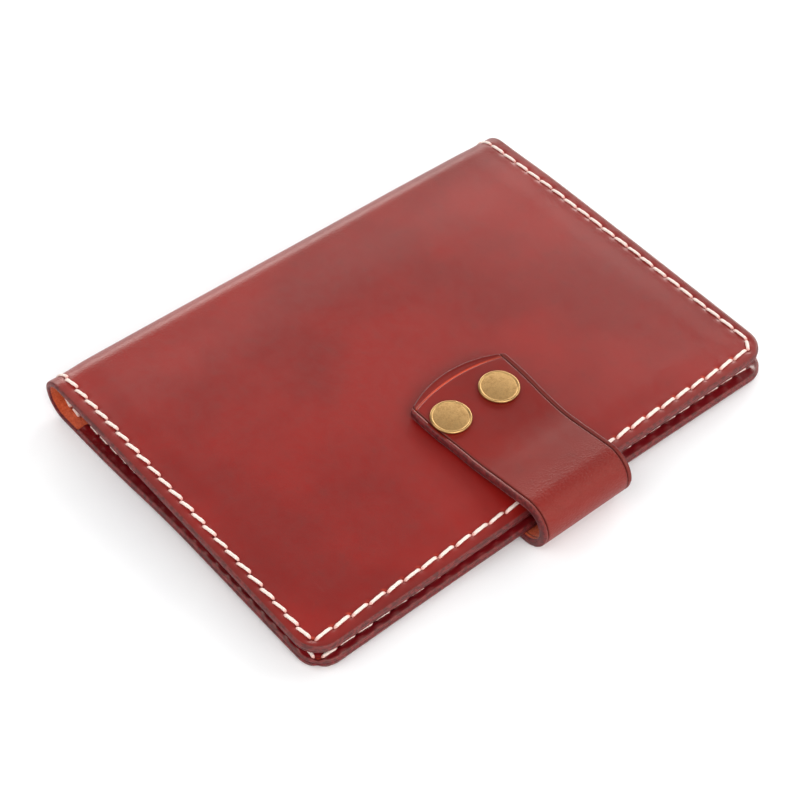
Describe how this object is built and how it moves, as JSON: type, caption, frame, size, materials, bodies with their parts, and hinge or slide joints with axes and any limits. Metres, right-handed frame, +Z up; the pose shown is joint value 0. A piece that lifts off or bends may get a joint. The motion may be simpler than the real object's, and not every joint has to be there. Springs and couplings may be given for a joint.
{
  "type": "passport holder",
  "caption": "Folding leather passport holder with stitched edges, inner pockets and a strap that wraps the fore-edge and closes with snap fasteners.",
  "frame": {"origin": "centre of the closed holder's bounding box in plan, on the surface it lies on", "axes": "+X from the spine to the fore-edge, +Y along the spine, +Z up through the closed holder, with the front cover on top"},
  "size_m": [0.1108, 0.1412, 0.0132],
  "materials": {
    "cover_leather": "semi-gloss vegetable-tanned leather, deep red",
    "pocket_leather": "glossy thin lining leather, dark red",
    "strap_leather": "semi-gloss vegetable-tanned leather, deep red, creased along its edges",
    "thread": "waxed off-white thread",
    "antique_brass": "antique brass, brushed and speckled",
    "snap_brass": "plated snap hardware"
  },
  "bodies": {
    "back_half": {"back_cover": "cover_leather", "back_pocket": "pocket_leather", "back_thread": "thread", "strap_anchor": "strap_leather", "strap_thread": "thread"},
    "spine": {"spine_fold": "cover_leather", "spine_thread": "thread"},
    "front_half": {"front_cover": "cover_leather", "front_pocket": "pocket_leather", "front_thread": "thread", "snap_stud_near": "snap_brass", "snap_stud_far": "snap_brass", "snap_post_near": "snap_brass", "snap_post_far": "snap_brass"},
    "strap_loop_body": {"strap_loop": "strap_leather"},
    "strap_tab_body": {"strap_tab": "strap_leather", "snap_cap_near": "antique_brass", "snap_cap_far": "antique_brass", "snap_socket_near": "snap_brass", "snap_socket_far": "snap_brass"}
  },
  "joints": [
    {"name": "cover_lower_fold", "type": "hinge", "parent": "back_half", "child": "spine", "pos_m": [-0.05411, 0, 0.00129], "axis": [0, -1, 0], "range_deg": [0, 90]},
    {"name": "cover_upper_fold", "type": "hinge", "parent": "spine", "child": "front_half", "pos_m": [-0.05411, 0, 0.01111], "axis": [0, -1, 0], "range_deg": [0, 90]},
    {"name": "strap_lower_bend", "type": "hinge", "parent": "back_half", "child": "strap_loop_body", "pos_m": [0.05403, 0, 0.00137], "axis": [0, 1, 0], "range_deg": [0, 90]},
    {"name": "strap_upper_bend", "type": "hinge", "parent": "strap_loop_body", "child": "strap_tab_body", "pos_m": [0.05403, 0, 0.01183], "axis": [0, 1, 0], "range_deg": [0, 90]}
  ],
  "couplings": [
    {"joint": "cover_upper_fold", "follows": "cover_lower_fold", "ratio": 1},
    {"joint": "strap_upper_bend", "follows": "strap_lower_bend", "ratio": 1}
  ]
}
